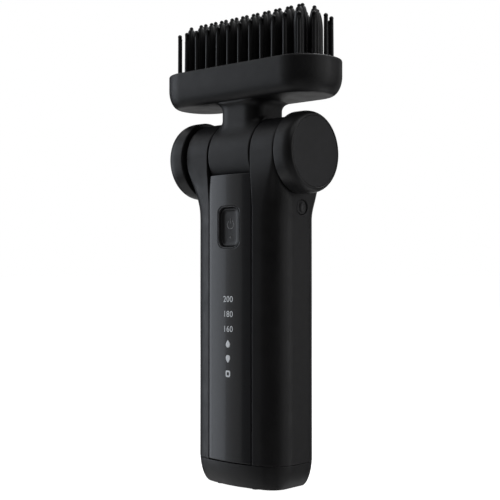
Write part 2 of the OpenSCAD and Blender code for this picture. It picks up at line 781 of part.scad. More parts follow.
// Positions along the ring of outer bristles
ring_straight = 2 * (pin_path_l - pin_path_d);
ring_len = 2 * ring_straight + 2 * PI * pin_path_d;
ring_count = 2 * round(ring_len / bristle_pitch / 2);
function ring_at(s) = let (a = ring_straight, b = PI * pin_path_d)
    s < a ? [-a / 2 + s, -pin_path_d] :
    s < a + b ? let (t = (s - a) / pin_path_d * 180 / PI - 90)
        [a / 2 + pin_path_d * cos(t), pin_path_d * sin(t)] :
    s < 2 * a + b ? [a / 2 - (s - a - b), pin_path_d] :
    let (t = (s - 2 * a - b) / pin_path_d * 180 / PI + 90)
        [-a / 2 + pin_path_d * cos(t), pin_path_d * sin(t)];

module comb_plate() {
    color([0.14, 0.14, 0.15]) {
        difference() {
            translate([0, 0, plate_z]) linear_extrude(2) rounded(2 * pin_path_l - 4, 2 * pin_path_d - 4.6, 5);
            for (p = pegs()) translate([p[0], p[1], 100]) cylinder(r = peg_core_r, h = 100, $fn = 24);
        }
        for (p = pegs()) {
            h = p[2] - 0.9 - plate_z;
            translate([p[0], p[1], plate_z]) rotate_extrude($fn = 24) polygon([[peg_core_r, 0],
                [peg_r, 0], [peg_r * 0.98, h - 8], [peg_r * 0.9, h - 4.6], [peg_r * 0.68, h - 2],
                [0.6, h], [0, h], [0, peg_core_h + 0.8], [peg_core_r, peg_core_h]]);
        }
    }
}

module peg_tips() {
    color([0.05, 0.05, 0.05]) for (p = pegs()) translate([p[0], p[1], p[2] - 0.9])
        difference() {
            translate([0, 0, 0.3]) sphere(0.6, $fn = 24);
            translate([-1, -1, -1]) cube([2, 2, 1]);
        }
}

module clamp_screws() {
    color("silver") for (x = [-30, 30]) translate([x, 0, floor_z + 2]) screw(1.1, 3, 1.9, 1.1);
}

module thermistor() {
    color([0.2, 0.2, 0.2]) translate([28.6, 3.2, plate_z - 0.9]) block([-1, -1, -0.9], [1, 1, 0.9]);
}

module thermal_fuse() {
    color([0.7, 0.65, 0.5]) translate([-2, 8.2, floor_z + 1]) xcyl(0.95, -5, 5);
}

module heater_leads_lower() {
    color([0.75, 0.1, 0.1]) lead([[-12, -6.8, hinge_h - 24], [-12, -4.5, hinge_h - 24], [-17, 0, hinge_h - 18],
        [-17, 0, hinge_h], [-12.5, 0, hinge_h]], 0.9);
}

module heater_leads_upper() {
    color([0.75, 0.1, 0.1]) lead([[-11.5, 0, hinge_h], [0, 0, hinge_h],
        [0, 0, floor_z + 1.2]], 0.9);
}

module bristle_deck() {
    color([0.08, 0.08, 0.085]) difference() {
        translate([0, 0, deck_z - 1.6]) linear_extrude(1.6) tray_outline(tray_wall + 0.1);
        for (p = pegs()) translate([p[0], p[1], 100]) cylinder(r = peg_r + 0.15, h = 200, $fn = 24);
    }
}

module outer_bristles() {
    h = tip_z - pin_drop - deck_z;
    color([0.06, 0.06, 0.065]) for (k = [0:ring_count - 1]) {
        p = ring_at(k * ring_len / ring_count);
        translate([p[0], p[1], deck_z]) {
            cylinder(r1 = pin_r, r2 = pin_r * 0.86, h = h - 0.7, $fn = 20);
            translate([0, 0, h - 0.7]) sphere(pin_r * 0.86, $fn = 20);
        }
    }
}

rear_shell();
front_panel();
bottom_cap();
base_feet();
cap_screws();
button_frame();
indicator_windows();
light_guide();
main_board();
board_screws();
status_leds();
tact_switch();
battery_cell_left();
battery_cell_right();
battery_cradle();
battery_straps();
battery_leads();
charge_board();
charge_port();
hinge_bush_left();
hinge_bush_right();
shoe_guide();
guide_screws();
heater_leads_lower();
power_button();
switch_plunger();
release_button();
release_spring();
brake_shoe();
shoe_pad();
shoe_spring();
hinge_barrel();
hinge_shaft();
thrust_washers();
hinge_knob_left();
hinge_knob_right();
knob_cap_left();
knob_cap_right();
knob_screws();
head_tray();
neck_screws();
clamp_plate();
ptc_heater();
insulation_film();
comb_plate();
peg_tips();
clamp_screws();
thermistor();
thermal_fuse();
heater_leads_upper();
bristle_deck();
outer_bristles();
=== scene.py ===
import json
import math
import random

import bmesh
import bpy
import numpy as np
from mathutils import Matrix, Vector


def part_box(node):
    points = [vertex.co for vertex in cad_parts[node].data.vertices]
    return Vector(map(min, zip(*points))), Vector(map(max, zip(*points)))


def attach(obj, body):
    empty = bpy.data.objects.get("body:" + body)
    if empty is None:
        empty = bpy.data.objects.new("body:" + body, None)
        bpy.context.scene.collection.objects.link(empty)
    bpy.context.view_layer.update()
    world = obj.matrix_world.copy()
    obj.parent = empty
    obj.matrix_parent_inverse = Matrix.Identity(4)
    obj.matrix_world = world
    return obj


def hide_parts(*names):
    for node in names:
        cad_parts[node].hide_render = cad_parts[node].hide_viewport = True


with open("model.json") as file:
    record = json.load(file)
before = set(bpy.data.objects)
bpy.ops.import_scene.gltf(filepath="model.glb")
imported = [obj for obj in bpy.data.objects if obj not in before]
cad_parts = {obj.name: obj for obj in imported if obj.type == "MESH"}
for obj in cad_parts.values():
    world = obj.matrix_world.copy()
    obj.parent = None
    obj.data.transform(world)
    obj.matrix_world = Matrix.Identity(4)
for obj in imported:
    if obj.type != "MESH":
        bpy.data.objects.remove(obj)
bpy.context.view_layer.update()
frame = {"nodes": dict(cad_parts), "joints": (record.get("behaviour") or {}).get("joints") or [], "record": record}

MM = 0.001
scene = bpy.context.scene
nodes = frame["nodes"]
joints = {j["name"]: j for j in frame["joints"]}


def box_mm(node):
    lo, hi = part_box(node)
    return np.array(lo) / MM, np.array(hi) / MM


# ---- sizes, in mm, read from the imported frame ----
HINGE = joints["head_tilt"]["pos_m"][2] / MM
shell_lo, shell_hi = box_mm("rear_shell")
panel_lo, panel_hi = box_mm("front_panel")
cap_hi = box_mm("bottom_cap")[1]
barrel_lo, barrel_hi = box_mm("hinge_barrel")
tray_lo, tray_hi = box_mm("head_tray")
deck_lo, deck_hi = box_mm("bristle_deck")
knob_lo, knob_hi = box_mm("hinge_knob_right")
face_hi = box_mm("knob_cap_right")[1]
frame_lo, frame_hi = box_mm("button_frame")
button_hi = box_mm("power_button")[1]
release_hi = box_mm("release_button")[1]
tip_hi = box_mm("peg_tips")[1]
pin_hi = box_mm("outer_bristles")[1]
comb_lo = box_mm("comb_plate")[0]

EAR_OUT = shell_hi[0]
HALF_W = EAR_OUT - 0.6
FRONT = -panel_lo[1]
BACK = 13.6
EAR_R = (barrel_hi[2] - barrel_lo[2]) / 2
EAR_IN = panel_hi[0]
SEAM_Z = shell_lo[2]
PANEL_TOP = panel_hi[2]
FRONT_R, BACK_R, CROWN_R = 11.0, 5.5, 60.0
EAR_EDGE_R = 0.9
BARREL_GAP = 0.45
RELEASE_Y, RELEASE_Z = 3.7, HINGE - 21.6
FOOT_H = 0.3
TRAY_FLOOR = HINGE + 22.5


# ---- distance fields ----
def hyp(a, b):
    return np.sqrt(a * a + b * b)


def rmax(a, b, r):
    """Intersection whose edge is a round of radius r."""
    return np.minimum(np.maximum(a, b), -r) + hyp(np.maximum(a + r, 0), np.maximum(b + r, 0))


def rmin(a, b, r):
    """Union whose inside corner is a fillet of radius r."""
    return -rmax(-a, -b, r)


def smooth(t):
    t = np.clip(t, 0, 1)
    return t * t * (3 - 2 * t)


def mix(a, b, t):
    return a + (b - a) * t


def rect2(x, y, hx, hy, r):
    qx, qy = np.abs(x) - hx + r, np.abs(y) - hy + r
    return hyp(np.maximum(qx, 0), np.maximum(qy, 0)) + np.minimum(np.maximum(qx, qy), 0) - r


def outline(x, y, hw, front, back, rf, rb, curve):
    """The handle's section: crowned front of curvature `curve`, round front and back corners."""
    rc = 1 / curve
    ax = np.abs(x)
    yc = rc - front
    cx = hw - rf
    cy = yc - np.sqrt((rc - rf) ** 2 - cx * cx)
    nx, ny = cx / (rc - rf), (cy - yc) / (rc - rf)
    ux, uy = ax - cx, y - cy
    corner = hyp(ux, uy) - rf
    crown = hyp(ax, y - yc) - rc
    side = nx * uy - ny * ux > 0
    front_part = np.where(side, corner, crown)
    qx, qy = ax - (hw - rb), y - (back - rb)
    back_part = hyp(np.maximum(qx, 0), np.maximum(qy, 0)) + np.minimum(np.maximum(qx, qy), 0) - rb
    inner = np.maximum(ax - hw, y - back)
    back_part = np.where((qx > 0) | (qy > 0), back_part, inner)
    return np.where(uy < 0, front_part, back_part)


def handle_outline(x, y, z):
    """The section eases from rounded corners into the flat, sharp-edged ears."""
    zc = np.minimum(z, HINGE)
    t = smooth((zc - (HINGE - 23)) / 21.5)
    rear = smooth((zc - (HINGE - 26)) / 19)
    flare = smooth((zc - (HINGE - 27)) / 10)
    return outline(
        x, y,
        mix(HALF_W, EAR_OUT, flare),
        mix(FRONT, EAR_R, t),
        mix(BACK, EAR_R, rear),
        mix(FRONT_R, EAR_EDGE_R, t),
        mix(BACK_R, EAR_EDGE_R, rear),
        mix(1 / CROWN_R, 1 / 4000.0, t),
    )


def plain_outline(x, y, inset=0.0):
    return outline(x, y, HALF_W, FRONT, BACK, FRONT_R, BACK_R, 1 / CROWN_R) + inset


def around_hinge(y, z, r):
    return hyp(y, z - HINGE) - r


def shell_field(x, y, z):
    body = handle_outline(x, y, z)
    ears = rmax(np.abs(x) - EAR_OUT, around_hinge(y, z, EAR_R), EAR_EDGE_R)
    body = np.where(z > HINGE, ears, body)
    body = rmax(body, SEAM_Z - z, 0.18)
    # the gap for the head's barrel
    gap = np.minimum(around_hinge(y, z, EAR_R + BARREL_GAP), PANEL_TOP - z)
    gap = np.maximum(np.abs(x) - EAR_IN, gap)
    body = rmax(body, -gap, 0.4)
    # the panel's seat
    depth = plain_outline(x, y)
    seat = np.maximum(np.abs(x) - (EAR_IN + 0.15), -(depth + 1.75))
    seat = np.maximum(seat, np.maximum(panel_lo[2] - 0.15 - z, y + 7))
    body = rmax(body, -seat, 0.28)
    # the inside
    inside = np.maximum(plain_outline(x, y, 2.0), np.maximum(-12 - y, z - 117.5))
    window = np.maximum(np.abs(x) - 8.8, np.maximum(np.abs(z - 69) - 47, y + 10))
    body = np.maximum(body, -np.minimum(inside, window))
    # bores for the hinge and the release button, with a dished rim
    bore = hyp(y, z - HINGE) - 6.2
    body = rmax(body, -bore, 0.3)
    hole = np.maximum(hyp(y - RELEASE_Y, z - RELEASE_Z) - 3.1, 15 - x)
    body = rmax(body, -hole, 0.35)
    shoe = np.maximum(np.maximum(np.abs(x), np.abs(y)) - 4.4, np.maximum(z - 122, 112.5 - z))
    return np.maximum(body, -shoe)


def panel_field(x, y, z):
    d = plain_outline(x, y)
    slab = rmax(d, -(d + 1.6), 0.1)
    f = rmax(slab, np.abs(x) - EAR_IN, 0.32)
    f = np.maximum(f, y + 6)
    f = rmax(f, np.maximum(panel_lo[2] - z, z - PANEL_TOP), 0.32)
    f = rmax(f, -around_hinge(y, z, EAR_R + BARREL_GAP), 0.15)
    bz = (frame_lo[2] + frame_hi[2]) / 2
    hole = rect2(x, z - bz, frame_hi[0] + 0.06, (frame_hi[2] - frame_lo[2]) / 2 + 0.06, 3.55)
    return rmax(f, -hole, 0.18)


def cap_field(x, y, z):
    k = np.clip((12.5 - z) / 12.5, 0, 1)
    inset = 4.6 * (1 - np.sqrt(np.maximum(1 - k * k, 0)))
    d = plain_outline(x, y) + inset
    f = rmax(d, z - (SEAM_Z - 0.12), 0.18)
    f = np.maximum(f, FOOT_H - z)
    lip = np.maximum(plain_outline(x, y, 2.1), np.maximum(np.maximum(z - cap_hi[2], 8 - z), -11.9 - y))
    f = np.minimum(f, lip)
    hollow = np.maximum(plain_outline(x, y, 6.8), 2.2 - z)
    upper = np.maximum(plain_outline(x, y, 3.3), 8.8 - z)
    tube = hyp(np.abs(x) - 16, y)
    inner = np.maximum(np.minimum(hollow, upper), -np.maximum(tube - 3.2, z - 8.8))
    f = np.maximum(f, -inner)
    port = np.maximum(rect2(x, y, 4.7, 1.85, 1.8), z - 3)
    f = rmax(f, -port, 0.25)
    seat = np.minimum(np.maximum(tube - 2.2, z - 6.6), tube - 1.3)
    foot = np.minimum(hyp(np.abs(x) - 17, y - 7.8), hyp(np.abs(x) - 9.5, y + 8.4))
    seat = np.minimum(seat, np.maximum(foot - 1.75, z - 1.0))
    return rmax(f, -seat, 0.2)


def head_field(x, y, z):
    tz, rim = TRAY_FLOOR, tray_hi[2]
    hx, hy = tray_hi[0], tray_hi[1]
    plan = rect2(x, y, hx, hy, 15.0)
    k = np.clip((tz + 8 - z) / 8, 0, 1)
    inset = 4.8 * (1 - np.sqrt(np.maximum(1 - k * k, 0)))
    tray = rmax(np.maximum(plan + inset, tz - z), z - rim, 0.75)
    neck = np.maximum(rect2(x, y, barrel_hi[0], 10.4, 7.0), np.maximum(z - (tz + 2), HINGE + 5 - z))
    barrel = around_hinge(y, z, EAR_R)
    low = rmin(neck, barrel, 2.2)
    low = np.where(z < HINGE + 5, barrel, low)
    low = rmax(low, np.abs(x) - barrel_hi[0], 0.4)
    f = rmin(tray, low, 3.6)
    hollow = np.maximum(plan + 3.0, tz + 6.5 - z)
    ledge = np.maximum(plan + 1.8, deck_lo[2] - z)
    # np.minimum joins the hollow and the ledge that the deck sits on
    f = rmax(f, -np.minimum(hollow, ledge), 0.3)
    return np.maximum(f, -(hyp(y, z - HINGE) - 4.5))


# ---- meshing a field ----
def axis(lo, hi, step, fine=(), fine_step=0.15, reach=0.9):
    """Grid lines from lo to hi, closer together round each value in fine."""
    out, v = [lo], lo
    while v < hi:
        near = min((abs(v - f) for f in fine), default=99)
        v += fine_step if near < reach else min(step, fine_step + (near - reach) * 0.5 + 0.02)
        out.append(v)
    return np.array(out)


def field_mesh(name, field, xs, ys, zs, relax=2):
    """Closed quad mesh of field == 0 on a grid: one vertex in each cell that the surface crosses."""
    shape = (len(xs), len(ys), len(zs))
    F = np.empty(shape, np.float64)
    for k in range(0, shape[2], 32):
        X, Y, Z = np.meshgrid(xs, ys, zs[k:k + 32], indexing="ij")
        F[:, :, k:k + 32] = field(X, Y, Z)
    F[np.abs(F) < 1e-7] = 1e-7
    inside = F < 0
    total = np.zeros((shape[0] - 1, shape[1] - 1, shape[2] - 1), np.int8)
    for dx in (0, 1):
        for dy in (0, 1):
            for dz in (0, 1):
                total += inside[dx:shape[0] - 1 + dx, dy:shape[1] - 1 + dy, dz:shape[2] - 1 + dz]
    active = (total > 0) & (total < 8)
    ci, cj, ck = np.nonzero(active)
    index = -np.ones(active.shape, np.int64)
    index[ci, cj, ck] = np.arange(len(ci))
    grid = (xs, ys, zs)
    acc = np.zeros((len(ci), 3))
    cnt = np.zeros(len(ci))
    for ax in range(3):
        o1, o2 = [a for a in range(3) if a != ax]
        for a in (0, 1):
            for b in (0, 1):
                p = [ci.copy(), cj.copy(), ck.copy()]
                p[o1] += a
                p[o2] += b
                q = [v.copy() for v in p]
                q[ax] += 1
                f0, f1 = F[tuple(p)], F[tuple(q)]
                cross = (f0 < 0) != (f1 < 0)
                t = np.where(cross, f0 / np.where(cross, f0 - f1, 1), 0)
                pos = np.zeros((len(ci), 3))
                pos[:, ax] = grid[ax][p[ax]] + t * (grid[ax][q[ax]] - grid[ax][p[ax]])
                pos[:, o1] = grid[o1][p[o1]]
                pos[:, o2] = grid[o2][p[o2]]
                acc += pos * cross[:, None]
                cnt += cross
    V = acc / cnt[:, None]
    quads = []
    for ax in range(3):
        o1, o2 = (ax + 1) % 3, (ax + 2) % 3
        lo = [slice(None)] * 3
        hi = [slice(None)] * 3
        lo[ax], hi[ax] = slice(0, shape[ax] - 1), slice(1, shape[ax])
        a, b = inside[tuple(lo)], inside[tuple(hi)]
        p = np.array(np.nonzero(a != b))
        ok = (p[o1] > 0) & (p[o2] > 0) & (p[o1] < shape[o1] - 1) & (p[o2] < shape[o2] - 1)
        p = p[:, ok]
        cells = []
        for d1, d2 in ((-1, -1), (0, -1), (0, 0), (-1, 0)):
            c = p.copy()
            c[o1] += d1
            c[o2] += d2
            cells.append(index[tuple(c)])
        quad = np.stack(cells, 1)
        flip = ~a[tuple(p)]
        quad[flip] = quad[flip][:, ::-1]
        quads.append(quad)
    Q = np.concatenate(quads)
    Q = Q[(Q >= 0).all(1)]
    sides = np.concatenate([Q[:, [0, 1]], Q[:, [1, 2]], Q[:, [2, 3]], Q[:, [3, 0]]])
    edges = np.unique(np.sort(sides, 1), axis=0)
    deg = np.bincount(edges.ravel(), minlength=len(V)).astype(float)

    def project(V, rounds):
        e = 0.01
        for _ in range(rounds):
            f = field(V[:, 0], V[:, 1], V[:, 2])
            g = np.stack([
                field(V[:, 0] + e * (i == 0), V[:, 1] + e * (i == 1), V[:, 2] + e * (i == 2))
                - field(V[:, 0] - e * (i == 0), V[:, 1] - e * (i == 1), V[:, 2] - e * (i == 2))
                for i in range(3)], 1) / (2 * e)
            g2 = np.maximum((g * g).sum(1), 0.05)
            step = g * (f / g2)[:, None]
            size = np.linalg.norm(step, axis=1)
            V = V - step * np.minimum(1, 0.3 / np.maximum(size, 1e-9))[:, None]
        return V

    V = project(V, 3)
    for _ in range(relax):
        mean = np.zeros_like(V)
        for i in range(3):
            mean[:, i] = (np.bincount(edges[:, 0], V[edges[:, 1], i], len(V))
                          + np.bincount(edges[:, 1], V[edges[:, 0], i], len(V))) / deg
        V = project(V + 0.4 * (mean - V), 2)
    me = bpy.data.meshes.new(name)
    me.vertices.add(len(V))
    me.vertices.foreach_set("co", (V * MM).astype(np.float32).ravel())
    me.loops.add(Q.size)
    me.loops.foreach_set("vertex_index", Q.ravel().astype(np.int32))
    me.polygons.add(len(Q))
    me.polygons.foreach_set("loop_start", np.arange(0, Q.size, 4, dtype=np.int32))
    me.update(calc_edges=True)
    me.validate()
    return finish_mesh(name, me)


def finish_mesh(name, me):
    me.polygons.foreach_set("use_smooth", np.ones(len(me.polygons), bool))
    ob = bpy.data.objects.new(name, me)
    scene.collection.objects.link(ob)
    return ob


def raw_mesh(name, verts, faces):
    me = bpy.data.meshes.new(name)
    me.from_pydata([tuple(np.array(v) * MM) for v in verts], [], faces)
    me.update()
    bm = bmesh.new()
    bm.from_mesh(me)
    bmesh.ops.recalc_face_normals(bm, faces=bm.faces)
    bm.to_mesh(me)
    bm.free()
    return finish_mesh(name, me)


def place(ob, body, material, *replaced):
    ob.data.materials.clear()
    ob.data.materials.append(material)
    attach(ob, body)
    if replaced:
        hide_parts(*replaced)
    return ob


def sharpen(ob, degrees=35):
    """Smooth shading that breaks at real edges."""
    me = ob.data
    bm = bmesh.new()
    bm.from_mesh(me)
    for e in bm.edges:
        if len(e.link_faces) == 2 and e.calc_face_angle(0) > math.radians(degrees):
            e.smooth = False
    bm.to_mesh(me)
    bm.free()


# ---- lathes and lofts ----
def lathe_data(profile, turns=64):
    """profile: (radius, height) pairs; the ends may lie on the axis."""
    verts, faces, rings = [], [], []
    for r, h in profile:
        if r < 1e-6:
            rings.append([len(verts)])
            verts.append((0, 0, h))
        else:
            rings.append(list(range(len(verts), len(verts) + turns)))
            for k in range(turns):
                a = 2 * math.pi * k / turns
                verts.append((r * math.cos(a), r * math.sin(a), h))
    for a, b in zip(rings, rings[1:]):
        for k in range(turns):
            k2 = (k + 1) % turns
            if len(a) == 1 and len(b) == 1:
                continue
            if len(a) == 1:
                faces.append((a[0], b[k2], b[k]))
            elif len(b) == 1:
                faces.append((a[k], a[k2], b[0]))
            else:
                faces.append((a[k], a[k2], b[k2], b[k]))
    return verts, faces


def lathe(name, profile, matrix, turns=64):
    verts, faces = lathe_data(profile, turns)
    verts = [matrix @ Vector(v) for v in verts]
    return raw_mesh(name, verts, faces)


def arc(cx, cy, rx, ry, a0, a1, n):
    return [(cx + rx * math.cos(math.radians(a0 + (a1 - a0) * i / n)),
             cy + ry * math.sin(math.radians(a0 + (a1 - a0) * i / n))) for i in range(n + 1)]


def rect_ring(hx, hz, r, n=7):
    pts = []
    corners = ((hx - r, hz - r, 0), (-hx + r, hz - r, 90),
               (-hx + r, -hz + r, 180), (hx - r, -hz + r, 270))
    for cx, cz, a0 in corners:
        pts += arc(cx, cz, r, r, a0, a0 + 90, n)
    return pts


def rect_loft(name, sections, cz, closed=False, crown=0.0):
    """Rounded rectangles standing in XZ, each (half width, half height, radius, y)."""
    verts, faces = [], []
    rings = []
    for hx, hz, r, y in sections:
        ring = rect_ring(hx, hz, r)
        rings.append(list(range(len(verts), len(verts) + len(ring))))
        verts += [(x, y + crown * x * x, z + cz) for x, z in ring]
    pairs = list(zip(rings, rings[1:] + rings[:1])) if closed else list(zip(rings, rings[1:]))
    for a, b in pairs:
        n = len(a)
        faces += [(a[k], a[(k + 1) % n], b[(k + 1) % n], b[k]) for k in range(n)]
    if not closed:
        faces += [tuple(rings[0][::-1]), tuple(rings[-1])]
    return raw_mesh(name, verts, faces)


def merge(name, parts):
    """One mesh from several (verts, faces, matrix)."""
    verts, faces = [], []
    for v, f, m in parts:
        base = len(verts)
        verts += [m @ Vector(p) for p in v]
        faces += [tuple(i + base for i in q) for q in f]
    return raw_mesh(name, verts, faces)


# ---- materials ----
def plastic(name, color, rough, grain=0.16, bump=0.25, rough_swing=0.06, tone_swing=0.12,
            spec=0.5, coat=0.0, metallic=0.0, smudge=0.0, streak=False, sheen=0.0):
    """Moulded or finished surface: fine grain, slow tone drift, patchy gloss, faint handling marks."""
    m = bpy.data.materials.new(name)
    m.use_nodes = True
    nt = m.node_tree
    b = nt.nodes["Principled BSDF"]
    b.inputs["Base Color"].default_value = (*color, 1)
    b.inputs["Roughness"].default_value = rough
    b.inputs["Metallic"].default_value = metallic
    b.inputs["Specular IOR Level"].default_value = spec
    b.inputs["Coat Weight"].default_value = coat
    b.inputs["Coat Roughness"].default_value = 0.06
    b.inputs["Sheen Weight"].default_value = sheen
    b.inputs["Sheen Roughness"].default_value = 0.5
    co = nt.nodes.new("ShaderNodeTexCoord").outputs["Object"]
    if streak:
        mp = nt.nodes.new("ShaderNodeMapping")
        mp.inputs["Scale"].default_value = (1, 0.06, 1)
        nt.links.new(co, mp.inputs["Vector"])
        co = mp.outputs["Vector"]

    def noise(scale_mm, detail=3.0, roughness=0.55):
        n = nt.nodes.new("ShaderNodeTexNoise")
        n.inputs["Scale"].default_value = 1 / (scale_mm * MM)
        n.inputs["Detail"].default_value = detail
        n.inputs["Roughness"].default_value = roughness
        nt.links.new(co, n.inputs["Vector"])
        return n.outputs["Fac"]

    def ranged(value, lo, hi, a=0.3, c=0.7):
        r = nt.nodes.new("ShaderNodeMapRange")
        r.inputs["From Min"].default_value = a
        r.inputs["From Max"].default_value = c
        r.inputs["To Min"].default_value = lo
        r.inputs["To Max"].default_value = hi
        nt.links.new(value, r.inputs["Value"])
        return r.outputs["Result"]

    def math_node(op, x, y):
        n = nt.nodes.new("ShaderNodeMath")
        n.operation = op
        for i, v in enumerate((x, y)):
            if isinstance(v, (int, float)):
                n.inputs[i].default_value = v
            else:
                nt.links.new(v, n.inputs[i])
        return n.outputs[0]

    drift = noise(22, 2)
    mixc = nt.nodes.new("ShaderNodeMix")
    mixc.data_type = "RGBA"
    mixc.inputs["A"].default_value = (*[c * (1 - tone_swing) for c in color], 1)
    mixc.inputs["B"].default_value = (*[min(1, c * (1 + tone_swing)) for c in color], 1)
    speck = noise(0.35, 4)
    tone = math_node("ADD", ranged(drift, 0, 0.6), ranged(speck, 0, 0.4))
    nt.links.new(tone, mixc.inputs["Factor"])
    nt.links.new(mixc.outputs["Result"], b.inputs["Base Color"])
    rr = ranged(noise(6, 4, 0.6), rough - rough_swing, rough + rough_swing)
    if smudge:
        marks = ranged(noise(11, 6, 0.7), 0, smudge, 0.52, 0.72)
        rr = math_node("ADD", rr, marks)
    fine = ranged(speck, -rough_swing * 0.5, rough_swing * 0.5)
    nt.links.new(math_node("ADD", rr, fine), b.inputs["Roughness"])
    if bump:
        vor = nt.nodes.new("ShaderNodeTexVoronoi")
        vor.inputs["Scale"].default_value = 1 / (grain * 1.6 * MM)
        nt.links.new(co, vor.inputs["Vector"])
        height = math_node("ADD", noise(grain, 4, 0.6), math_node("MULTIPLY", vor.outputs["Distance"], 0.35))
        bn = nt.nodes.new("ShaderNodeBump")
        bn.inputs["Strength"].default_value = bump
        bn.inputs["Distance"].default_value = 0.02 * MM
        nt.links.new(height, bn.inputs["Height"])
        nt.links.new(bn.outputs["Normal"], b.inputs["Normal"])
    return m


shell_mat = plastic("shell_black_plastic", (0.0135, 0.013, 0.0138), 0.44, bump=0.5, smudge=0.05)
head_mat = plastic("head_black_plastic", (0.0135, 0.0132, 0.0138), 0.45, bump=0.5, smudge=0.04)
knob_mat = plastic("knob_black_plastic", (0.0135, 0.0133, 0.0138), 0.42, bump=0.4, smudge=0.03)
face_mat = plastic("knob_face_plastic", (0.021, 0.0208, 0.0225), 0.5, grain=0.12, bump=0.35)
gloss_mat = plastic("panel_gloss_black", (0.012, 0.0125, 0.0145), 0.25, bump=0.0, rough_swing=0.012,
                    tone_swing=0.08, coat=0.25, smudge=0.012)
button_mat = plastic("button_satin_black", (0.018, 0.018, 0.019), 0.36, bump=0.3)
rim_mat = plastic("button_rim_grey", (0.06, 0.06, 0.062), 0.33, bump=0.15)
pin_mat = plastic("pin_black_nylon", (0.012, 0.012, 0.0125), 0.38, bump=0.2)
peg_mat = plastic("peg_coated_black", (0.011, 0.011, 0.0115), 0.34, bump=0.3, grain=0.1)
tip_mat = plastic("peg_tip_black", (0.010, 0.010, 0.010), 0.4, bump=0.1)
deck_mat = plastic("deck_black_plastic", (0.014, 0.014, 0.015), 0.5, bump=0.4)

INNER = {
    "shell_black": shell_mat, "knob_face": face_mat, "panel_gloss": gloss_mat, "button_black": button_mat,
    "lens": plastic("lens_clear", (0.75, 0.76, 0.78), 0.12, bump=0.0),
    "white_plastic": plastic("white_abs", (0.78, 0.78, 0.76), 0.5),
    "led": plastic("led_lens", (0.9, 0.88, 0.7), 0.2, bump=0.1),
    "circuit_board": plastic("board_green_mask", (0.02, 0.13, 0.06), 0.3, grain=0.4, bump=0.2),
    "screw_steel": plastic("screw_zinc", (0.52, 0.52, 0.53), 0.3, metallic=1.0, grain=0.1),
    "spring_steel": plastic("spring_bright", (0.48, 0.48, 0.50), 0.25, metallic=1.0, grain=0.08),
    "plated_steel": plastic("nickel_plate", (0.62, 0.60, 0.57), 0.24, metallic=1.0, grain=0.12, streak=True),
    "cell_wrap": plastic("cell_sleeve_blue", (0.05, 0.2, 0.36), 0.28, grain=0.5, bump=0.1),
    "inner_plastic": plastic("inner_black_abs", (0.03, 0.03, 0.033), 0.5),
    "bush_plastic": plastic("bush_acetal", (0.66, 0.65, 0.6), 0.4),
    "lead_sleeve": plastic("lead_silicone_red", (0.42, 0.03, 0.025), 0.55, sheen=0.1),
    "pad_rubber": plastic("pad_rubber", (0.015, 0.015, 0.015), 0.75, bump=0.6),
    "heater_ceramic": plastic("heater_ceramic", (0.68, 0.66, 0.6), 0.7, grain=0.25, bump=0.5),
    "clamp_aluminium": plastic("clamp_aluminium", (0.72, 0.72, 0.73), 0.32, metallic=1.0, streak=True),
    "film": plastic("film_amber", (0.55, 0.28, 0.05), 0.2, bump=0.05),
    "comb_coated": peg_mat, "bristle_black": pin_mat,
    "sensor_body": plastic("sensor_epoxy", (0.3, 0.28, 0.22), 0.45),
}
slot_of = {s["node"]: s["material_slot"] for s in frame["record"]["subparts"]}
for name, ob in nodes.items():
    ob.data.materials.clear()
    ob.data.materials.append(INNER[slot_of[name]])
nodes["bristle_deck"].data.materials[0] = deck_mat


def lit_material():
    """White print lit from behind, a little uneven."""
    m = plastic("lit_mark_white", (0.62, 0.64, 0.66), 0.4, bump=0.0)
    b = m.node_tree.nodes["Principled BSDF"]
    b.inputs["Emission Color"].default_value = (0.9, 0.95, 1, 1)
    b.inputs["Emission Strength"].default_value = 0.22
    return m


lit_mat = lit_material()
print_mat = plastic("print_grey", (0.34, 0.34, 0.345), 0.45, bump=0.0)

# ---- the handle ----
xs = axis(-EAR_OUT - 0.5, EAR_OUT + 0.5, 0.9, (-EAR_OUT, -EAR_IN, EAR_IN, EAR_OUT), 0.2, 0.8)
ys = axis(-EAR_R - 0.5, EAR_R + 0.5, 0.75, (-EAR_R, EAR_R), 0.3, 1.2)
zs = axis(SEAM_Z - 0.5, shell_hi[2] + 0.5, 0.9, (SEAM_Z, PANEL_TOP, shell_hi[2], 110, 117), 0.25, 0.9)
shell = field_mesh("handle_shell", shell_field, xs, ys, zs)
place(shell, "handle", shell_mat, "rear_shell")

xs = axis(-EAR_IN - 0.4, EAR_IN + 0.4, 0.7, (-EAR_IN, EAR_IN, -6, 6), 0.13, 0.6)
ys = axis(-FRONT - 0.4, -FRONT + 3.6, 0.3, (), 0.2)
panel_edges = (panel_lo[2], PANEL_TOP, frame_lo[2], frame_hi[2])
zs = axis(panel_lo[2] - 0.4, PANEL_TOP + 0.4, 1.0, panel_edges, 0.13, 0.9)
panel = field_mesh("control_panel", panel_field, xs, ys, zs)
place(panel, "handle", gloss_mat, "front_panel", "indicator_windows")

xs = axis(-HALF_W - 0.5, HALF_W + 0.5, 0.8, (-16, 16), 0.35, 3)
ys = axis(-FRONT - 0.5, BACK + 0.5, 0.6, (0,), 0.3, 3)
zs = axis(-0.2, cap_hi[2] + 0.5, 0.6, (FOOT_H, SEAM_Z), 0.12, 0.6)
cap = field_mesh("base_cap", cap_field, xs, ys, zs)
place(cap, "handle", shell_mat, "bottom_cap")

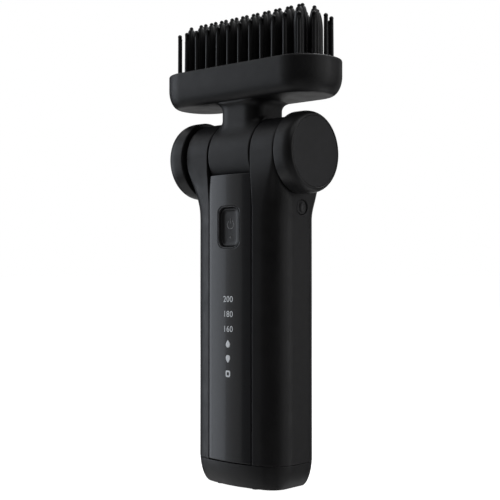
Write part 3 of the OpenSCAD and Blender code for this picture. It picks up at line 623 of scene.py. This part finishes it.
# ---- the head ----
xs = axis(tray_lo[0] - 0.5, tray_hi[0] + 0.5, 0.9, (barrel_lo[0], barrel_hi[0]), 0.22, 0.8)
ys = axis(-tray_hi[1] - 0.5, tray_hi[1] + 0.5, 0.7, (), 0.7)
zs = axis(barrel_lo[2] - 0.5, tray_hi[2] + 0.5, 0.7, (tray_hi[2], TRAY_FLOOR, 150), 0.22, 0.8)
head = field_mesh("head_housing", head_field, xs, ys, zs)
place(head, "head", head_mat, "head_tray", "hinge_barrel")

# ---- knobs ----
KNOB_R = knob_hi[2] - HINGE
KT = 8.4  # how far the knob stands out of the ear
knob_in = knob_hi[0] - KT
hub_in = knob_lo[0]
FACE_R = face_hi[2] - HINGE
knob_profile = (
    [(4.5, hub_in - knob_in), (9.8, hub_in - knob_in), (10.0, hub_in - knob_in + 0.15), (10.0, -0.05),
     (10.15, 0.0), (15.4, 0.0)]
    + arc(KNOB_R - 0.5, 0.5, 0.5, 0.5, -90, 0, 6)
    + arc(KNOB_R - 2.0, KT - 4.2, 2.0, 4.2, 0, 82, 18)
    + [(FACE_R + 0.2, KT - 0.03), (FACE_R + 0.1, KT - 0.12), (FACE_R + 0.1, KT - 1.4),
       (4.5, KT - 1.5), (4.5, hub_in - knob_in)]
)
face_profile = (
    [(0, KT - 1.45), (FACE_R, KT - 1.45), (FACE_R, KT - 0.2)]
    + arc(FACE_R - 0.2, KT - 0.2, 0.2, 0.14, 0, 90, 4)[1:]
    + [(FACE_R - 0.8, KT - 0.04), (9, KT - 0.02), (4, KT - 0.01), (0, KT)]
)


def side_matrix(s):
    m = Matrix(((0, 0, s, s * knob_in), (0, 1, 0, 0), (-s, 0, 0, HINGE), (0, 0, 0, 1)))
    return m


for s, side in ((-1, "left"), (1, "right")):
    k = lathe("knob_" + side, knob_profile, side_matrix(s), 160)
    sharpen(k, 40)
    place(k, "head", knob_mat, "hinge_knob_" + side)
    c = lathe("knob_face_" + side, face_profile, side_matrix(s), 160)
    sharpen(c, 40)
    place(c, "head", face_mat, "knob_cap_" + side)

# ---- bristles ----
rng = random.Random(7)
TIP = tip_hi[2]
PLATE = comb_lo[2]
PITCH = 6.0
EDGE_DROP = 2.0
PIN_INSET = 4
path_l = tray_hi[0] - PIN_INSET
path_d = tray_hi[1] - PIN_INSET


def pegs_at():
    out = []
    for j in (-1, 0, 1):
        for i in range(-7, 8):
            x, y = (i + (0.5 if j == 0 else 0)) * PITCH, j * path_d / 2
            d = path_d - math.hypot(max(abs(x) - (path_l - path_d), 0), y)
            if d > 3.6:
                out.append((x, y, TIP - (EDGE_DROP if d < 7 else 0)))
    return out


def ring_at(s):
    a, b = 2 * (path_l - path_d), math.pi * path_d
    if s < a:
        return -a / 2 + s, -path_d
    if s < a + b:
        t = (s - a) / path_d - math.pi / 2
        return a / 2 + path_d * math.cos(t), path_d * math.sin(t)
    if s < 2 * a + b:
        return a / 2 - (s - a - b), path_d
    t = (s - 2 * a - b) / path_d + math.pi / 2
    return -a / 2 + path_d * math.cos(t), path_d * math.sin(t)


def lean(x, y, z, most):
    t, a = math.radians(rng.uniform(0, most)), rng.uniform(0, 2 * math.pi)
    return Matrix.Translation((x, y, z)) @ Matrix.Rotation(t, 4, (math.cos(a), math.sin(a), 0))


def peg_data(h):
    """A heated peg of height h: straight sides drawn in to a blunt point."""
    side = [(2.3, 0), (2.28, (h - 8) / 2)] + [
        (0.8 + 1.48 * (1 - t ** 2.1) ** 0.72, h - 8 + 8 * t) for t in [i / 12 for i in range(0, 12)]]
    return lathe_data([(0, 0)] + side + [(0.78, h - 0.25), (0.7, h), (0, h)], 24)


BALL_R = 0.85
ball = [(0, -0.1), (0.72, -0.1)] + arc(0, 0.9 - BALL_R, BALL_R, BALL_R, -10, 90, 8)
ball_verts, ball_faces = lathe_data(ball, 16)
peg_parts, ball_parts = [], []
for x, y, tip in pegs_at():
    h = tip - 0.9 - PLATE - 2
    m = lean(x, y, PLATE + 2, 0.3)
    peg_parts.append((*peg_data(h), m))
    ball_parts.append((ball_verts, ball_faces, m @ Matrix.Translation((0, 0, h))))
base = rect_ring(path_l - 2, path_d - 2.3, 5)
n = len(base)
plate_verts = [(x, y, PLATE) for x, y in base] + [(x, y, PLATE + 2) for x, y in base]
plate_faces = [tuple(range(n))[::-1], tuple(range(n, 2 * n))] + [
    (k, (k + 1) % n, n + (k + 1) % n, n + k) for k in range(n)]
peg_parts.append((plate_verts, plate_faces, Matrix.Identity(4)))
pegs = merge("heated_pegs", peg_parts)
sharpen(pegs, 50)
place(pegs, "head", peg_mat, "comb_plate")
balls = merge("peg_balls", ball_parts)
place(balls, "head", tip_mat, "peg_tips")

straight = 2 * (path_l - path_d)
ring_len = 2 * straight + 2 * math.pi * path_d
count = 2 * round(ring_len / PITCH / 2)
pin_len = pin_hi[2] - deck_hi[2]
pin_parts = []
for k in range(count):
    x, y = ring_at(k * ring_len / count)
    length = pin_len - rng.uniform(0, 0.4)
    prof = [(0, 0), (1.35, 0)] + arc(1.35, 0.4, 0.4, 0.4, -90, -180, 4)[1:] + [
        (mix(0.95, 0.82, i / 6), 0.4 + (length - 1.4) * i / 6) for i in range(1, 7)] + arc(
        0, length - 0.9, 0.9, 0.9, -10, 90, 8)
    v, f = lathe_data(prof, 18)
    pin_parts.append((v, f, lean(x, y, deck_hi[2] - 0.02, 0.7)))
pins = merge("outer_pins", pin_parts)
place(pins, "head", pin_mat, "outer_bristles")

# ---- power button ----
BZ = (frame_lo[2] + frame_hi[2]) / 2
fo_x, fo_z = frame_hi[0], frame_hi[2] - BZ
bo_x, bo_z = button_hi[0], button_hi[2] - BZ
CROWN = 0.5 / CROWN_R
rim = rect_loft("button_rim", [
    (fo_x, fo_z, 3.5, -12.0), (fo_x, fo_z, 3.5, -14.72), (fo_x - 0.12, fo_z - 0.12, 3.4, -14.84),
    (fo_x - 0.35, fo_z - 0.35, 3.2, -14.84), (fo_x - 0.52, fo_z - 0.52, 3.05, -14.7),
    (fo_x - 0.6, fo_z - 0.6, 2.9, -14.4), (fo_x - 0.6, fo_z - 0.6, 2.9, -12.0)], BZ, closed=True, crown=CROWN)
sharpen(rim, 50)
place(rim, "handle", rim_mat, "button_frame")
button = rect_loft("power_key", [
    (bo_x, bo_z, 2.65, -11.9), (bo_x, bo_z, 2.65, -13.45), (bo_x - 0.07, bo_z - 0.07, 2.6, -13.6),
    (bo_x - 0.25, bo_z - 0.25, 2.45, -13.69), (bo_x - 0.6, bo_z - 0.6, 2.1, -13.69),
    (bo_x - 0.8, bo_z - 0.8, 1.9, -13.6), (bo_x - 1.0, bo_z - 1.0, 1.75, -13.42),
    (bo_x - 2.2, bo_z - 2.2, 1.2, -13.3), (0.8, 3.6, 0.6, -13.26)], BZ)
sharpen(button, 60)
place(button, "power_button", button_mat, "power_button")


def flat_ring(name, cx, cz, r, w, a0, a1, y, body, mat, n=40, lift=0.03):
    """A printed arc: a thin raised band in XZ."""
    verts, faces = [], []
    for i in range(n + 1):
        a = math.radians(a0 + (a1 - a0) * i / n)
        for rr in (r - w / 2, r + w / 2):
            for dy in (0, -lift):
                verts.append((cx + rr * math.cos(a), y + dy, cz + rr * math.sin(a)))
    for i in range(n):
        p, q = 4 * i, 4 * i + 4
        for a, b in ((0, 1), (1, 3), (3, 2), (2, 0)):
            faces.append((p + a, p + b, q + b, q + a))
    faces += [(0, 1, 3, 2), (4 * n, 4 * n + 1, 4 * n + 3, 4 * n + 2)]
    return place(raw_mesh(name, verts, faces), body, mat)


sym_z = BZ + 1.0
flat_ring("power_mark_arc", 0, sym_z, 1.75, 0.34, 125, 415, -13.285, "power_button", print_mat)
bar = rect_loft("power_mark_bar", [(0.17, 1.05, 0.16, -13.285), (0.17, 1.05, 0.16, -13.315)], sym_z + 1.5)
place(bar, "power_button", print_mat)
dot = lathe("power_mark_dot", [(0, 0), (0.42, 0), (0.42, 0.025), (0, 0.03)],
            Matrix.Translation((0, -13.29, BZ - 4.2)) @ Matrix.Rotation(math.radians(90), 4, "X"), 20)
place(dot, "power_button", print_mat)

# ---- release button ----
rel_out = release_hi[0]
rel_profile = [(0, -6), (1.2, -6), (1.2, -2.8), (3.35, -2.8), (3.35, -1.98), (2.85, -1.98), (2.85, -0.35)]
rel_profile += arc(2.55, -0.35, 0.3, 0.3, 0, 90, 4)[1:]
rel_profile += [(2.2, -0.12), (1.5, -0.35), (0.8, -0.46), (0, -0.5)]
rel_m = Matrix(((0, 0, 1, rel_out), (0, 1, 0, RELEASE_Y), (-1, 0, 0, RELEASE_Z), (0, 0, 0, 1)))
rel = lathe("release_key", rel_profile, rel_m, 48)
sharpen(rel, 45)
place(rel, "release_button", button_mat)

# ---- lit marks on the panel ----
MARK_TOP = HINGE - 58.7
MARK_PITCH = 6.05
MARK_Y = 0.012


def on_crown(me):
    """Wraps flat XZ artwork, in mm, onto the panel."""
    for v in me.vertices:
        x, d = v.co[0] / MM, v.co[1] / MM
        y = -FRONT + CROWN_R - math.sqrt(CROWN_R ** 2 - x * x)
        v.co[1] = (y - d) * MM


def text_mark(name, text, z, height):
    cu = bpy.data.curves.new(name, "FONT")
    cu.body = text
    cu.size = height / 0.72
    cu.align_x, cu.align_y = "CENTER", "CENTER"
    cu.resolution_u = 6
    cu.space_character = 1.04
    ob = bpy.data.objects.new(name, cu)
    scene.collection.objects.link(ob)
    bpy.context.view_layer.update()
    me = bpy.data.meshes.new_from_object(ob)
    bpy.data.objects.remove(ob)
    bm = bmesh.new()
    bm.from_mesh(me)
    ext = bmesh.ops.extrude_face_region(bm, geom=bm.faces[:])
    top = {v for v in ext["geom"] if isinstance(v, bmesh.types.BMVert)}
    zc = (max(v.co.y for v in bm.verts) + min(v.co.y for v in bm.verts)) / 2
    for v in bm.verts:
        x, y = v.co.x, v.co.y - zc
        v.co = Vector((x * MM, (MARK_Y if v in top else -0.02) * MM, (z + y) * MM))
    bmesh.ops.triangulate(bm, faces=bm.faces[:])
    bmesh.ops.subdivide_edges(bm, edges=[e for e in bm.edges if e.calc_length() > 0.6 * MM], cuts=2)
    bmesh.ops.recalc_face_normals(bm, faces=bm.faces)
    bm.to_mesh(me)
    bm.free()
    on_crown(me)
    ob = bpy.data.objects.new(name, me)
    scene.collection.objects.link(ob)
    return place(ob, "handle", lit_mat)


def outline_mark(name, loops, z):
    """A filled shape from (x, z) loops: outer first, then holes; fanned between matching points."""
    verts, faces = [], []
    outer, inner = loops
    n = len(outer)
    for pts in (outer, inner):
        for dep in (-0.02, MARK_Y):
            verts += [(x, dep, z + h) for x, h in pts]
    for k in range(n):
        k2 = (k + 1) % n
        faces.append((n + k, n + k2, 3 * n + k2, 3 * n + k))
        faces.append((k, k2, n + k2, n + k))
        faces.append((2 * n + k, 2 * n + k2, 3 * n + k2, 3 * n + k))
        faces.append((k, k2, 2 * n + k2, 2 * n + k))
    ob = raw_mesh(name, verts, faces)
    on_crown(ob.data)
    ob.data.update()
    bm = bmesh.new()
    bm.from_mesh(ob.data)
    bmesh.ops.recalc_face_normals(bm, faces=bm.faces)
    bm.to_mesh(ob.data)
    bm.free()
    return place(ob, "handle", lit_mat)


def loop_pair(fn, n=36, inner=0.001):
    outer = [fn(2 * math.pi * i / n) for i in range(n)]
    hole = [(x * inner, z * inner) for x, z in outer]
    return outer, hole


def drop(a):
    """Pear shape, point up."""
    r = 1.15
    x = r * math.cos(a)
    z = r * math.sin(a)
    if z > 0:
        x *= max(0.0, 1 - (z / r) ** 2 * 0.9)
        z *= 1.75
    return x, z - 0.35


def squared(a, hx, hz, power):
    """A point of a rounded box: the lower the power, the squarer it is."""
    c, d = math.cos(a), math.sin(a)
    return hx * math.copysign(abs(c) ** power, c), hz * math.copysign(abs(d) ** power, d)


def shield(a):
    x, z = squared(a, 1.15, 1.5, 0.6)
    if z < 0:
        x *= 1 + z / 1.5 * 0.65
    return x, z


def square_ring(a):
    return squared(a, 1.25, 1.35, 0.5)


for i, text in enumerate(("200", "180", "160")):
    text_mark("mark_number_%d" % (i + 1), text, MARK_TOP - i * MARK_PITCH, 2.5)
outline_mark("mark_symbol_1", loop_pair(drop), MARK_TOP - 3 * MARK_PITCH)
outline_mark("mark_symbol_2", loop_pair(shield), MARK_TOP - 4 * MARK_PITCH)
outline_mark("mark_symbol_3", loop_pair(square_ring, inner=0.5), MARK_TOP - 5 * MARK_PITCH)

# ---- stage ----
me = bpy.data.meshes.new("floor")
me.from_pydata([(-40, -40, 0), (40, -40, 0), (40, 40, 0), (-40, 40, 0)], [], [(0, 1, 2, 3)])
floor = bpy.data.objects.new("floor", me)
scene.collection.objects.link(floor)
fm = plastic("floor_paper_white", (0.86, 0.86, 0.86), 0.75, grain=0.6, bump=0.1, tone_swing=0.01, spec=0.2)
fb = fm.node_tree.nodes["Principled BSDF"]
fb.inputs["Emission Color"].default_value = (1, 1, 1, 1)
fb.inputs["Emission Strength"].default_value = 1.0
me.materials.append(fm)
# paper white to the eye; it neither shades nor mirrors in the object
floor.visible_diffuse = False
floor.visible_glossy = False
floor.visible_shadow = False

world = bpy.data.worlds.new("studio")
scene.world = world
world.use_nodes = True
wt = world.node_tree
wt.nodes.clear()
out = wt.nodes.new("ShaderNodeOutputWorld")
seen = wt.nodes.new("ShaderNodeBackground")
seen.inputs["Color"].default_value = (1, 1, 1, 1)
seen.inputs["Strength"].default_value = 1.0
dim = wt.nodes.new("ShaderNodeBackground")
dim.inputs["Color"].default_value = (0.95, 0.97, 1, 1)
dim.inputs["Strength"].default_value = 0.008
path = wt.nodes.new("ShaderNodeLightPath")
mixs = wt.nodes.new("ShaderNodeMixShader")
wt.links.new(path.outputs["Is Camera Ray"], mixs.inputs["Fac"])
wt.links.new(dim.outputs[0], mixs.inputs[1])
wt.links.new(seen.outputs[0], mixs.inputs[2])
wt.links.new(mixs.outputs[0], out.inputs["Surface"])


def softbox(name, azimuth, elevation, distance, width, height, power, color=(1, 1, 1), target=(0, 0, 0.1)):
    """A rectangular light; azimuth 0 is in front, 90 to the right."""
    a, e = math.radians(azimuth), math.radians(elevation)
    back = Vector((math.sin(a) * math.cos(e), -math.cos(a) * math.cos(e), math.sin(e)))
    li = bpy.data.lights.new(name, "AREA")
    li.shape = "RECTANGLE"
    li.size, li.size_y, li.energy = width, height, power
    li.color = color
    ob = bpy.data.objects.new(name, li)
    scene.collection.objects.link(ob)
    ob.location = Vector(target) + back * distance
    ob.rotation_mode = "QUATERNION"
    ob.rotation_quaternion = (-back).to_track_quat("-Z", "Y")
    return ob


COOL, PLAIN, WARM = (0.93, 0.98, 1.06), (1, 1, 1.01), (1.0, 0.975, 0.98)
for name, azimuth, elevation, width, height, power, color in (
    ("left_edge", -88, 8, 0.35, 1.3, 0.25, COOL),
    ("left_key", -70, 8, 0.35, 1.3, 2.5, COOL),
    ("left_front", -53, 8, 0.35, 1.3, 1.8, COOL),
    ("front_fade", -36, 8, 0.35, 1.3, 0.57, PLAIN),
    ("front_dim", -12, 8, 0.5, 1.3, 0.16, WARM),
    ("right_dim", 20, 8, 0.6, 1.3, 0.07, WARM),
    ("right_edge", 95, 8, 0.5, 1.3, 0.98, PLAIN),
    ("right_rear", 125, 8, 0.45, 1.3, 1.85, PLAIN),
    ("back", 180, 8, 0.5, 1.3, 0.6, PLAIN),
    ("high_left", -110, 55, 0.7, 0.7, 0.9, PLAIN),
    ("high_front", -60, 55, 0.6, 0.7, 0.65, PLAIN),
    ("high_right", 50, 55, 0.8, 0.7, 1.28, PLAIN),
    ("high_side", 120, 55, 0.8, 0.7, 1.95, PLAIN),
    ("high_back", 180, 60, 0.8, 0.7, 4.5, PLAIN),
    ("low_left", -100, -45, 0.8, 0.7, 0.55, PLAIN),
    ("low_right", 30, -45, 0.8, 0.7, 0.5, PLAIN),
    ("low_side", 100, -45, 0.8, 0.7, 0.7, PLAIN),
    ("low_back", 160, -50, 0.8, 0.7, 1.3, PLAIN),
    ("low_base", 0, -80, 0.7, 0.7, 0.55, PLAIN),
):
    softbox(name, azimuth, elevation, 1.2, width, height, power, color)
# light thrown back by the white paper, close to the base and behind it
softbox("base_bounce", -55, -38, 0.3, 0.3, 0.2, 0.1, target=(0, 0, 0))
softbox("rear_bounce", -138, -22, 1.0, 0.6, 0.35, 0.55, target=(0, 0, 0.12))

# ---- camera: level with the lower handle, from the front right ----
CAM_AZ, CAM_D, CAM_DROP, CAM_F, CAM_PITCH, CAM_YAW = 41.55, 436.7, 48.05, 1049.3, 1.24, 0.126
cam = bpy.data.cameras.new("camera")
cam.sensor_width = 36
cam.lens = CAM_F / 500 * 36
cam.clip_start, cam.clip_end = 0.01, 20
cam_ob = bpy.data.objects.new("camera", cam)
scene.collection.objects.link(cam_ob)
a, p = math.radians(CAM_AZ), math.radians(CAM_PITCH)
cam_ob.location = (CAM_D * MM * math.sin(a), -CAM_D * MM * math.cos(a), (HINGE - CAM_DROP) * MM)
w = math.radians(CAM_AZ + CAM_YAW)
look = Vector((-math.sin(w) * math.cos(p), math.cos(w) * math.cos(p), math.sin(p)))
cam_ob.rotation_mode = "QUATERNION"
cam_ob.rotation_quaternion = look.to_track_quat("-Z", "Y")
scene.camera = cam_ob
scene.view_settings.view_transform = "Standard"
scene.view_settings.look = "None"
